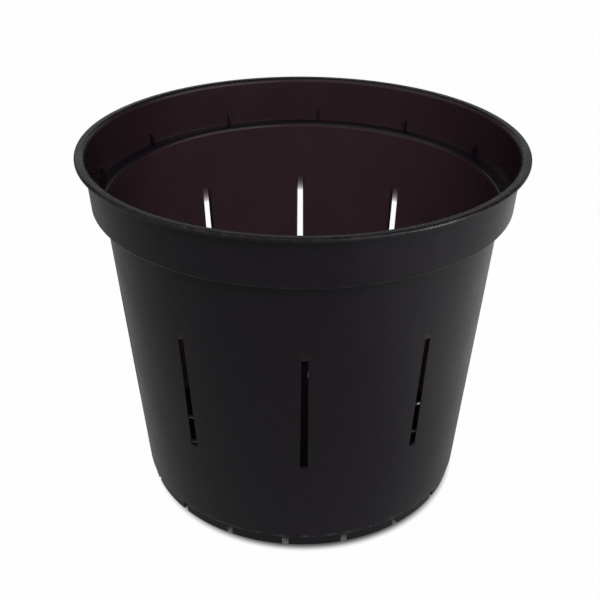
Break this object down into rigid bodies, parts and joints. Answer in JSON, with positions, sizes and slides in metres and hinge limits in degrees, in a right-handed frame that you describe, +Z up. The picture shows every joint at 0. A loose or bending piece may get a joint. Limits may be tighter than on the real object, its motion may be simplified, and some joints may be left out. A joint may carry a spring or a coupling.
{
  "type": "slotted orchid pot",
  "caption": "Tapered round plant pot in thin black plastic with a flat lip, a stepped collar, tall air slots in the wall and drains that run out under the foot, for growing orchids.",
  "frame": {"origin": "centre of the foot ring on the ground", "axes": "+Z up along the pot's axis; -Y through the first air slot, towards the viewer; +X to the right"},
  "size_m": [0.14, 0.14, 0.117],
  "materials": {
    "black_polypropylene": "satin, as moulded"
  },
  "bodies": {
    "root": {"rim_lip": "black_polypropylene", "rim_collar": "black_polypropylene", "stacking_ribs": "black_polypropylene", "shoulder_ledge": "black_polypropylene", "slotted_wall": "black_polypropylene", "base_floor": "black_polypropylene", "foot_ring": "black_polypropylene"}
  },
  "joints": []
}
